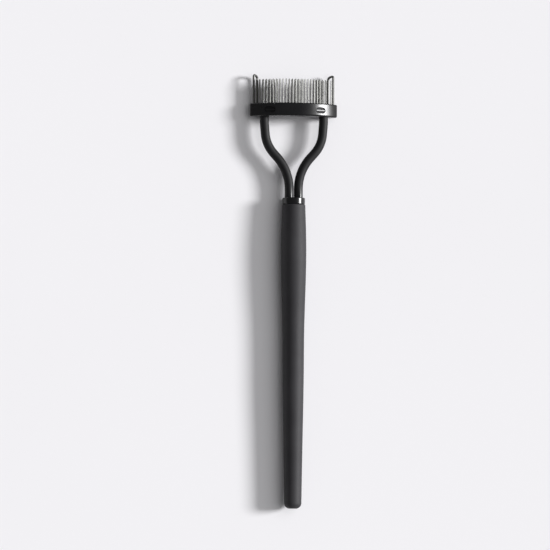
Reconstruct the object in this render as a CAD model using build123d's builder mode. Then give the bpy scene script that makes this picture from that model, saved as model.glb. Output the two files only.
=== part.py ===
from build123d import *

import math
import os

# Lash comb: a forked handle that carries two rows of steel pins in an arched head.
#
# Frame: the tool lies along Y on a surface at Z = 0, with its head towards +Y and the crown of the
# arched head up. The origin is on that surface, under the middle of the tool's length. A station is
# a distance from the butt of the handle, measured towards the head. Lengths are millimetres.

# Overall
overall_length = 130.5
belly_r = 3.85  # the handle's largest radius, on which the tool lies

# Handle
handle_length = 91.2
butt_flat_r = 0.9
butt_corner_r = 1.7
grip_outline = [  # station and radius: a long taper, then the belly under the fingertips
    (22.0, 2.92),
    (40.0, 3.20),
    (53.0, 3.29),
    (64.5, 3.60),
    (76.5, belly_r),
    (85.0, 3.70),
    (handle_length, 3.50),
]
butt_tangent = (1, 0.016)
neck_tangent = (1, -0.025)
neck_edge_r = 0.3
socket_r = 3.0
socket_floor = 74.5

# Ferrule, the ring on the handle's upper end
ferrule_r = 3.4
ferrule_height = 2.0
ferrule_edge_r = 0.25

# Fork arms, two bent rods whose tails lie side by side in the socket
arm_r = 1.35
tail_offset = 1.4
tail_end = 76.0
arm_spread = 9.0
arm_corners = [  # station and distance from the axis, where the rod's centre line turns
    (101.3, tail_offset),
    (109.1, 8.45),
    (115.6, arm_spread),
]
arm_bend_radii = [14.0, 10.0, 12.0]
tenon_r = 0.7
tenon_length = 2.0

# Plug that holds the tails in the socket
plug_r = 2.98
plug_top_recess = 0.3
plug_half_width = 2.2
tail_hole_r = 1.37
web_gap = 0.6

# Head case, an arched channel
case_outer_r = 20.0
case_inner_r = 16.2
case_half_angle = 42.6
case_bottom = 117.65
case_height = 3.95
case_corner_r = 0.6
rim_round = 0.35
base_round = 0.5
front_wall = 0.4
end_wall = 0.4
case_floor = 0.7

# Windows in the case's crown face and the snap lugs of the seat that show in them
window_length = 3.4
window_height = 1.85
window_angle = 22.8
window_station = 119.5
lug_length = 2.9
lug_height = 0.26
lug_recess = 0.1

# Pin seat
seat_clearance = 0.02
seat_top_recess = 0.1

# Pins and guard wires
front_row_r = 19.1
back_row_r = 17.05
pins_per_row = 25
pin_pitch = 0.95  # across the head, in the front row
pin_r = 0.19
pin_top = 128.85
pin_bottom = 119.4
pin_tip_round = 0.1
hole_clearance = 0.01
guard_wire_r = 0.35
guard_angle = 39.4  # from the crown of the arch
guard_front_bend = 0.5
guard_back_bend = 0.9
guard_slope = 0.5  # how much lower the loop's back shoulder lies than its front one

# Worked out from the above
case_top = case_bottom + case_height
ferrule_top = handle_length + ferrule_height
case_middle_r = (case_outer_r + case_inner_r) / 2
arch_centre_z = belly_r - math.sqrt(case_middle_r**2 - arm_spread**2)
butt_y = -overall_length / 2
cavity_outer_r = case_outer_r - front_wall
cavity_inner_r = case_inner_r + front_wall
cavity_half_angle = case_half_angle - math.degrees(end_wall / case_middle_r)
row_middle = (pins_per_row - 1) / 2

os.makedirs("parts", exist_ok=True)

# Sketches on this plane are drawn as (station, X), in the plane through both arms.
side_plane = Plane(origin=(0, butt_y, belly_r), x_dir=(0, 1, 0), z_dir=(0, 0, -1))


def cross_plane(station, z):
    """Plane across the tool at a station, with X to the right and Z up, facing the butt."""
    return Plane(origin=(0, butt_y + station, z), x_dir=(1, 0, 0), z_dir=(0, -1, 0))


def arch_point(radius, degrees):
    """Point of the head's arch, as X and height above the arch's centre; 0 degrees is its crown."""
    angle = math.radians(degrees)
    return radius * math.sin(angle), radius * math.cos(angle)


def arch_band(outer_r, inner_r, half_angle, corner_r):
    """Outline of a stretch of the arch, with rounded corners."""
    with BuildSketch() as band:
        with BuildLine():
            crown = CenterArc((0, 0), outer_r, 90 - half_angle, 2 * half_angle)
            hollow = CenterArc((0, 0), inner_r, 90 - half_angle, 2 * half_angle)
            Line(crown @ 0, hollow @ 0)
            Line(crown @ 1, hollow @ 1)
        make_face()
        fillet(band.vertices(), corner_r)
    return band.sketch


def window_plane(side):
    """Plane that touches the case's crown face at a window, facing outwards."""
    x, height = arch_point(case_outer_r, side * window_angle)
    outwards = (x, 0, height)
    centre = (x, butt_y + window_station, arch_centre_z + height)
    return Plane(origin=centre, x_dir=(height, 0, -x), z_dir=outwards)


def write(piece, name):
    """Labels a finished piece and writes it to its own file."""
    piece.part.label = name
    export_step(piece.part, f"parts/{name}.step")


# Handle: turned outline, then the socket for the arms
with BuildPart() as handle:
    with BuildSketch(side_plane):
        with BuildLine():
            Line((0, 0), (0, butt_flat_r))
            corner_end = (butt_corner_r, butt_flat_r + butt_corner_r)
            TangentArc((0, butt_flat_r), corner_end, tangent=(0, 1))
            Spline(corner_end, *grip_outline, tangents=(butt_tangent, neck_tangent))
            Line(grip_outline[-1], (handle_length, 0))
            Line((handle_length, 0), (0, 0))
        make_face()
    revolve(axis=Axis((0, 0, belly_r), (0, 1, 0)))
    fillet(handle.edges().filter_by(GeomType.CIRCLE).group_by(Axis.Y)[-1], neck_edge_r)
    with BuildSketch(cross_plane(handle_length, belly_r)):
        Circle(socket_r)
    extrude(amount=handle_length - socket_floor, mode=Mode.SUBTRACT)
write(handle, "handle")

# Ferrule: a ring with softened edges
with BuildPart() as ferrule:
    with BuildSketch(cross_plane(ferrule_top, belly_r)):
        Circle(ferrule_r)
    extrude(amount=ferrule_height)
    fillet(ferrule.edges().filter_by(GeomType.CIRCLE), ferrule_edge_r)
    with BuildSketch(cross_plane(ferrule_top, belly_r)):
        Circle(socket_r)
    extrude(amount=ferrule_height, mode=Mode.SUBTRACT)
write(ferrule, "ferrule")

# Plug: a foot, and two jaws that fill the socket in front of the tails and behind them
with BuildPart() as arm_plug:
    with BuildSketch(cross_plane(ferrule_top - plug_top_recess, belly_r)):
        Circle(plug_r)
        Rectangle(2 * plug_half_width, 2 * plug_r, mode=Mode.INTERSECT)
        with Locations((tail_offset, 0), (-tail_offset, 0)):
            Circle(tail_hole_r, mode=Mode.SUBTRACT)
        Rectangle(web_gap, web_gap, mode=Mode.SUBTRACT)
    extrude(amount=ferrule_top - plug_top_recess - tail_end)
    with BuildSketch(cross_plane(tail_end, belly_r)):
        Circle(plug_r)
    extrude(amount=tail_end - socket_floor)
write(arm_plug, "arm_plug")


# Fork arms: one bent rod on each side, with a tenon that goes up into the head
for side, name in ((-1, "left_arm"), (1, "right_arm")):
    with BuildPart() as arm:
        with BuildLine(side_plane) as centre_line:
            turns = [(station, side * x) for station, x in arm_corners]
            tail = (tail_end, side * tail_offset)
            seat = (case_bottom, side * arm_spread)
            FilletPolyline(tail, *turns, seat, radius=arm_bend_radii)
        with BuildSketch(Plane(origin=centre_line.line @ 0, z_dir=centre_line.line % 0)):
            Circle(arm_r)
        sweep()
        with BuildSketch(cross_plane(case_bottom + tenon_length, belly_r)):
            with Locations((side * arm_spread, 0)):
                Circle(tenon_r)
        extrude(amount=tenon_length)
    write(arm, name)

# Head case: rounded arched block, hollowed from above, with two windows and two tenon holes
with BuildPart() as head_case:
    with BuildSketch(cross_plane(case_top, arch_centre_z)):
        add(arch_band(case_outer_r, case_inner_r, case_half_angle, case_corner_r))
    extrude(amount=case_height)
    fillet(head_case.edges().group_by(Axis.Y)[-1], rim_round)
    fillet(head_case.edges().group_by(Axis.Y)[0], base_round)
    with BuildSketch(cross_plane(case_top, arch_centre_z)):
        add(arch_band(cavity_outer_r, cavity_inner_r, cavity_half_angle, case_corner_r - front_wall))
    extrude(amount=case_height - case_floor, mode=Mode.SUBTRACT)
    for side in (-1, 1):
        with BuildSketch(window_plane(side)):
            SlotOverall(window_length, window_height)
        extrude(amount=-2 * front_wall, mode=Mode.SUBTRACT)
    with BuildSketch(cross_plane(case_bottom + case_floor, belly_r)):
        with Locations((arm_spread, 0), (-arm_spread, 0)):
            Circle(tenon_r + hole_clearance)
    extrude(amount=case_floor, mode=Mode.SUBTRACT)
write(head_case, "head_case")

# Pin seat: fills the case, carries the lugs, and is drilled for pins, guards and tenons
seat_top = case_top - seat_top_recess
seat_bottom = case_bottom + case_floor
pin_angles = [
    math.degrees(math.asin((index - row_middle) * pin_pitch / front_row_r))
    for index in range(pins_per_row)
]
with BuildPart() as pin_seat:
    seat_outer_r = cavity_outer_r - seat_clearance
    seat_inner_r = cavity_inner_r + seat_clearance
    seat_corner_r = case_corner_r - front_wall
    seat_half_angle = cavity_half_angle - math.degrees(seat_clearance / case_middle_r)
    with BuildSketch(cross_plane(seat_top, arch_centre_z)):
        add(arch_band(seat_outer_r, seat_inner_r, seat_half_angle, seat_corner_r))
    extrude(amount=seat_top - seat_bottom)
    for side in (-1, 1):
        with BuildSketch(window_plane(side).offset(-lug_recess)):
            SlotOverall(lug_length, lug_height)
        extrude(amount=-2 * front_wall)
    with BuildSketch(cross_plane(seat_top, arch_centre_z)):
        for row_r in (front_row_r, back_row_r):
            with Locations(*[arch_point(row_r, angle) for angle in pin_angles]):
                Circle(pin_r + hole_clearance)
            with Locations(*[arch_point(row_r, side * guard_angle) for side in (-1, 1)]):
                Circle(guard_wire_r + hole_clearance)
    extrude(amount=seat_top - pin_bottom, mode=Mode.SUBTRACT)
    with BuildSketch(cross_plane(case_bottom + tenon_length, belly_r)):
        with Locations((arm_spread, 0), (-arm_spread, 0)):
            Circle(tenon_r + hole_clearance)
    extrude(amount=tenon_length - case_floor, mode=Mode.SUBTRACT)
write(pin_seat, "pin_seat")

# Guards: a wire loop at each end, from the front row's end hole over to the back row's
guard_turn = math.pi / 2 + math.atan(guard_slope / (front_row_r - back_row_r))
guard_corner = overall_length - guard_wire_r + guard_front_bend * (math.tan(guard_turn / 2) - 1)
for side, name in ((-1, "left_guard"), (1, "right_guard")):
    across, up = arch_point(1, side * guard_angle)
    radial_plane = Plane(origin=(0, butt_y, arch_centre_z), x_dir=(across, 0, up), z_dir=(-up, 0, across))
    with BuildPart() as guard:
        with BuildLine(radial_plane) as centre_line:
            FilletPolyline(
                (front_row_r, pin_bottom),
                (front_row_r, guard_corner),
                (back_row_r, guard_corner - guard_slope),
                (back_row_r, pin_bottom),
                radius=[guard_front_bend, guard_back_bend],
            )
        with BuildSketch(Plane(origin=centre_line.line @ 0, z_dir=centre_line.line % 0)):
            Circle(guard_wire_r)
        sweep()
    write(guard, name)

# Pins: round steel rods with rounded tips, in radial pairs
for row_name, row_r in (("front", front_row_r), ("back", back_row_r)):
    for number, angle in enumerate(pin_angles, start=1):
        with BuildPart() as pin:
            with BuildSketch(cross_plane(pin_top, arch_centre_z)):
                with Locations(arch_point(row_r, angle)):
                    Circle(pin_r)
            extrude(amount=pin_top - pin_bottom)
            fillet(pin.edges().filter_by(GeomType.CIRCLE).group_by(Axis.Y)[-1], pin_tip_round)
        write(pin, f"{row_name}_pin_{number:02d}")
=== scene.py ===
import math

import bpy
from mathutils import Matrix, Vector


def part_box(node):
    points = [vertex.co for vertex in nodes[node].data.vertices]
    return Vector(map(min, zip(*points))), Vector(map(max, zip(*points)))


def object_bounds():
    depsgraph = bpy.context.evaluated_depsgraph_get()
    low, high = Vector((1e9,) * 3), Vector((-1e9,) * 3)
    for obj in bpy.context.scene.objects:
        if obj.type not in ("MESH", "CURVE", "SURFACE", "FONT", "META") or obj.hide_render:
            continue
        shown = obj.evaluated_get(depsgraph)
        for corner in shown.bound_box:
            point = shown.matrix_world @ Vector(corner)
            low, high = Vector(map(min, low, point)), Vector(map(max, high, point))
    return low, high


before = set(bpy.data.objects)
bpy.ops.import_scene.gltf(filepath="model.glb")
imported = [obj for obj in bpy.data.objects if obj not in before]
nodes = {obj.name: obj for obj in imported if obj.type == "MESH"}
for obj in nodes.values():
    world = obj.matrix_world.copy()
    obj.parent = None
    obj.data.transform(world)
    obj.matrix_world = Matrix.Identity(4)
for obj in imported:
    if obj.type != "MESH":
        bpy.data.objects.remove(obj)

# Lash comb, lying on a pale floor with the crown of its arched head up. Lengths are metres.

MM = 0.001
arch_outer_radius = 20 * MM
lug_face_radius = 19.8 * MM  # beyond this radius of the arch, the seat's snap lugs are rubbed
lug_root_radius = 19.7 * MM
rubbed_length = 4 * MM  # of each rod, above the ferrule
noise_low, noise_high = 0.3, 0.7  # nearly all of a noise texture's values lie between these
cad_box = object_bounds()


# ---------------------------------------------------------------- material tools


def linear(hex_colour):
    """Linear RGBA of an sRGB hex colour."""
    parts = [int(hex_colour[i : i + 2], 16) / 255 for i in (0, 2, 4)]
    return (*[c / 12.92 if c <= 0.04045 else ((c + 0.055) / 1.055) ** 2.4 for c in parts], 1.0)


def add_node(tree, kind, settings=(), **inputs):
    """Adds a node with its settings. An input that is a socket is linked, and any other is set."""
    node = tree.nodes.new(kind)
    for name, value in dict(settings).items():
        setattr(node, name, value)
    for name, value in inputs.items():
        socket = node.inputs[int(name[1:])] if name[0] == "_" else node.inputs[name.replace("_", " ")]
        if isinstance(value, bpy.types.NodeSocket):
            tree.links.new(value, socket)
        else:
            socket.default_value = value
    return node


def start_material(name):
    """Empty node material. Returns it with its tree, its shader and its object coordinates."""
    material = bpy.data.materials.new(name)
    material.use_nodes = True
    tree = material.node_tree
    tree.nodes.clear()
    shader = add_node(tree, "ShaderNodeBsdfPrincipled")
    add_node(tree, "ShaderNodeOutputMaterial", Surface=shader.outputs[0])
    place = add_node(tree, "ShaderNodeTexCoord").outputs["Object"]
    return material, tree, shader, place


def pattern_scale(size_mm):
    """Noise scale whose features are about this many millimetres across."""
    return 1 / (size_mm * MM)


def noise(tree, place, size_mm, detail=2.0, rough=0.5):
    """Noise value between 0 and 1 with features of a real size."""
    return add_node(
        tree,
        "ShaderNodeTexNoise",
        Vector=place,
        Scale=pattern_scale(size_mm),
        Detail=detail,
        Roughness=rough,
    ).outputs["Fac"]


def spread(tree, value, low, high):
    """Noise value stretched to run from low to high."""
    return add_node(
        tree,
        "ShaderNodeMapRange",
        Value=value,
        From_Min=noise_low,
        From_Max=noise_high,
        To_Min=low,
        To_Max=high,
    ).outputs[0]


def two_tone(tree, value, dark, light):
    """Colour that runs from dark to light with a noise value."""
    factor = spread(tree, value, 0.0, 1.0)
    ends = {"_6": linear(dark), "_7": linear(light)}
    return add_node(tree, "ShaderNodeMix", {"data_type": "RGBA"}, _0=factor, **ends).outputs[2]


def relief(tree, shader, value, depth_mm):
    """Bumps the shader's surface by a height pattern of a real depth."""
    bump = add_node(tree, "ShaderNodeBump", Height=value, Distance=depth_mm * MM, Strength=1.0)
    tree.links.new(bump.outputs[0], shader.inputs["Normal"])


# ---------------------------------------------------------------- materials


def soft_touch_lacquer():
    """Soft-touch polyurethane lacquer on moulded ABS: a charcoal matte with a broad dim sheen."""
    material, tree, shader, place = start_material("soft_touch_lacquer")
    cloud = noise(tree, place, 9.0, detail=3.0)
    # Real grain is about 0.05 mm, and is drawn coarser to show.
    grain = noise(tree, place, 0.28, detail=3.0, rough=0.6)
    tree.links.new(two_tone(tree, cloud, "2c2b2e", "333235"), shader.inputs["Base Color"])
    tree.links.new(spread(tree, grain, 0.6, 0.72), shader.inputs["Roughness"])
    shader.inputs["IOR"].default_value = 1.45
    relief(tree, shader, grain, 0.012)
    return material


def gloss_enamel():
    """Gloss black enamel on metal: a deep wet black with a faint orange peel."""
    material, tree, shader, place = start_material("gloss_black_enamel")
    cloud = noise(tree, place, 5.0)
    peel = noise(tree, place, 0.9, detail=1.0)
    tree.links.new(two_tone(tree, cloud, "0e0e10", "131315"), shader.inputs["Base Color"])
    tree.links.new(spread(tree, cloud, 0.25, 0.30), shader.inputs["Roughness"])
    shader.inputs["IOR"].default_value = 1.5
    relief(tree, shader, peel, 0.002)
    return material


def satin_enamel():
    """Satin black enamel on the bent rods: a soft band of light, rubbed glossy next to the ferrule."""
    material, tree, shader, place = start_material("satin_black_enamel")
    cloud = noise(tree, place, 5.0)
    # Real grain is about 0.03 mm, and is drawn coarser to show.
    grain = noise(tree, place, 0.25)
    tree.links.new(two_tone(tree, cloud, "101012", "151517"), shader.inputs["Base Color"])
    station = add_node(tree, "ShaderNodeSeparateXYZ", Vector=place).outputs["Y"]
    ferrule_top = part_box("ferrule")[1][1]
    satin = add_node(
        tree,
        "ShaderNodeMapRange",
        Value=station,
        From_Min=ferrule_top,
        From_Max=ferrule_top + rubbed_length,
        To_Min=0.26,
        To_Max=0.61,
    ).outputs[0]
    uneven = spread(tree, grain, -0.03, 0.03)
    roughness = add_node(tree, "ShaderNodeMath", {"operation": "ADD"}, _0=satin, _1=uneven).outputs[0]
    tree.links.new(roughness, shader.inputs["Roughness"])
    shader.inputs["IOR"].default_value = 1.43
    relief(tree, shader, grain, 0.002)
    return material


def moulded_black():
    """Black ABS as moulded: dull and spark-eroded, with snap lugs that the case has rubbed brighter."""
    material, tree, shader, place = start_material("moulded_black_abs")
    cloud = noise(tree, place, 3.0)
    # Real spark-eroded pits are about 0.03 mm, and are drawn coarser to show.
    spark = noise(tree, place, 0.15, detail=3.0)
    tree.links.new(two_tone(tree, cloud, "131314", "19191b"), shader.inputs["Base Color"])
    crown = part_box("head_case")[1][2]  # height of the case's crown, one outer radius above the axis
    from_axis = add_node(
        tree,
        "ShaderNodeMapping",
        Vector=place,
        Location=(0, 0, arch_outer_radius - crown),
        Scale=(1, 0, 1),
    ).outputs[0]
    radius = add_node(tree, "ShaderNodeVectorMath", {"operation": "LENGTH"}, _0=from_axis).outputs["Value"]
    dull = spread(tree, spark, 0.62, 0.75)
    rubbed_roughness = 0.33
    rubbed = add_node(
        tree,
        "ShaderNodeMapRange",
        Value=radius,
        From_Min=lug_root_radius,
        From_Max=lug_face_radius,
        To_Min=dull,
        To_Max=rubbed_roughness,
    ).outputs[0]
    tree.links.new(rubbed, shader.inputs["Roughness"])
    shader.inputs["IOR"].default_value = 1.5
    relief(tree, shader, spark, 0.006)
    return material


def drawn_steel(name, dark, light):
    """Stainless wire, drawn and tumbled: a soft grey gleam, with fine die lines along its length."""
    material, tree, shader, place = start_material(name)
    along = add_node(tree, "ShaderNodeMapping", Vector=place, Scale=(1.0, 0.04, 1.0)).outputs[0]
    # Real die lines are about 0.01 mm apart, and are drawn coarser to show.
    lines = noise(tree, along, 0.12)
    cloud = noise(tree, place, 2.5)
    tree.links.new(two_tone(tree, cloud, dark, light), shader.inputs["Base Color"])
    shader.inputs["Metallic"].default_value = 1.0
    tree.links.new(spread(tree, lines, 0.46, 0.54), shader.inputs["Roughness"])
    relief(tree, shader, lines, 0.0005)
    return material


def backdrop_paper():
    """Matte pale studio paper."""
    material, tree, shader, place = start_material("pale_studio_paper")
    cloud = noise(tree, place, 120.0)
    tree.links.new(two_tone(tree, cloud, "eeedf0", "efeef1"), shader.inputs["Base Color"])
    shader.inputs["Roughness"].default_value = 0.9
    shader.inputs["Specular IOR Level"].default_value = 0.1
    return material


lacquer = soft_touch_lacquer()
enamel = gloss_enamel()
rod_enamel = satin_enamel()
abs_black = moulded_black()
pin_steel = drawn_steel("drawn_stainless_steel_pins", "8c8c89", "9e9e9b")
guard_steel = drawn_steel("bent_stainless_steel_wire", "6a6a68", "7c7c7a")

finish_of_slot = {
    "soft_touch_black": lacquer,
    "gloss_black_metal": enamel,
    "satin_black_rod": rod_enamel,
    "gloss_black_case": enamel,
    "black_seat_plastic": abs_black,
    "black_plug_plastic": abs_black,
    "pin_steel": pin_steel,
    "guard_steel": guard_steel,
}
for node in nodes.values():
    for holder in node.material_slots:
        holder.material = finish_of_slot[holder.material.name.split(".")[0]]


# ---------------------------------------------------------------- floor, camera and light


def add_floor():
    """A wide pale floor under the tool."""
    half = 6.0  # half of its width
    mesh = bpy.data.meshes.new("floor")
    corners = [(-half, -half, 0), (half, -half, 0), (half, half, 0), (-half, half, 0)]
    mesh.from_pydata(corners, [], [(0, 1, 2, 3)])
    mesh.materials.append(backdrop_paper())
    floor = bpy.data.objects.new("floor", mesh)
    bpy.context.collection.objects.link(floor)


def view_axes():
    """Right, up and towards the camera, which leans a little towards the butt and to the left."""
    roll = math.radians(0.2)
    towards = Vector((-0.155, -0.055, 0.986)).normalized()
    level = Vector((0, 1, 0)).cross(towards).normalized()
    right = Matrix.Rotation(roll, 3, towards) @ level
    return right, towards.cross(right), towards


def add_camera():
    """A long lens above the tool."""
    distance = 1.2
    field = 0.165  # width of the picture at the tool
    right, up, towards = view_axes()
    low, high = cad_box
    aside, above = 5.55 * MM, 4.75 * MM  # the picture's middle from the tool's, to the left and up
    aim = (low + high) / 2 - right * aside + up * above
    data = bpy.data.cameras.new("camera")
    data.sensor_width = 36.0
    data.lens = data.sensor_width * distance / field
    data.clip_start = 0.01
    camera = bpy.data.objects.new("camera", data)
    bpy.context.collection.objects.link(camera)
    turn = Matrix((right, up, towards)).transposed().to_4x4()
    camera.matrix_world = Matrix.Translation(aim + towards * distance) @ turn
    bpy.context.scene.camera = camera


def add_sun(name, energy, spread_degrees, aside, raised, in_reflections):
    """A distant soft lamp, turned aside from the camera to the right, then raised towards the head.

    The spread, the turn and the rise are in degrees.
    """
    data = bpy.data.lights.new(name, "SUN")
    data.energy = energy
    data.angle = math.radians(spread_degrees)
    lamp = bpy.data.objects.new(name, data)
    bpy.context.collection.objects.link(lamp)
    right, up, towards = view_axes()
    aside, raised = math.radians(aside), math.radians(raised)
    level = towards * math.cos(aside) + right * math.sin(aside)
    to_lamp = level * math.cos(raised) + up * math.sin(raised)
    lamp.rotation_mode = "QUATERNION"
    lamp.rotation_quaternion = to_lamp.to_track_quat("Z", "Y")
    lamp.visible_glossy = in_reflections


def add_surroundings():
    """A dim room for light and reflections, which the camera sees as pale."""
    world = bpy.data.worlds.new("studio")
    bpy.context.scene.world = world
    world.use_nodes = True
    tree = world.node_tree
    tree.nodes.clear()
    room = add_node(tree, "ShaderNodeBackground", Color=linear("ffffff"), Strength=0.16)
    pale = add_node(tree, "ShaderNodeBackground", Color=linear("ebeaee"), Strength=1.0)
    seen = add_node(tree, "ShaderNodeLightPath").outputs["Is Camera Ray"]
    mix = add_node(tree, "ShaderNodeMixShader", _0=seen, _1=room.outputs[0], _2=pale.outputs[0])
    add_node(tree, "ShaderNodeOutputWorld", Surface=mix.outputs[0])


add_floor()
add_camera()
add_sun("key", energy=4.0, spread_degrees=14, aside=70, raised=8, in_reflections=True)
add_sun("fill", energy=0.9, spread_degrees=60, aside=35, raised=10, in_reflections=False)
add_surroundings()
bpy.context.scene.view_settings.view_transform = "Standard"
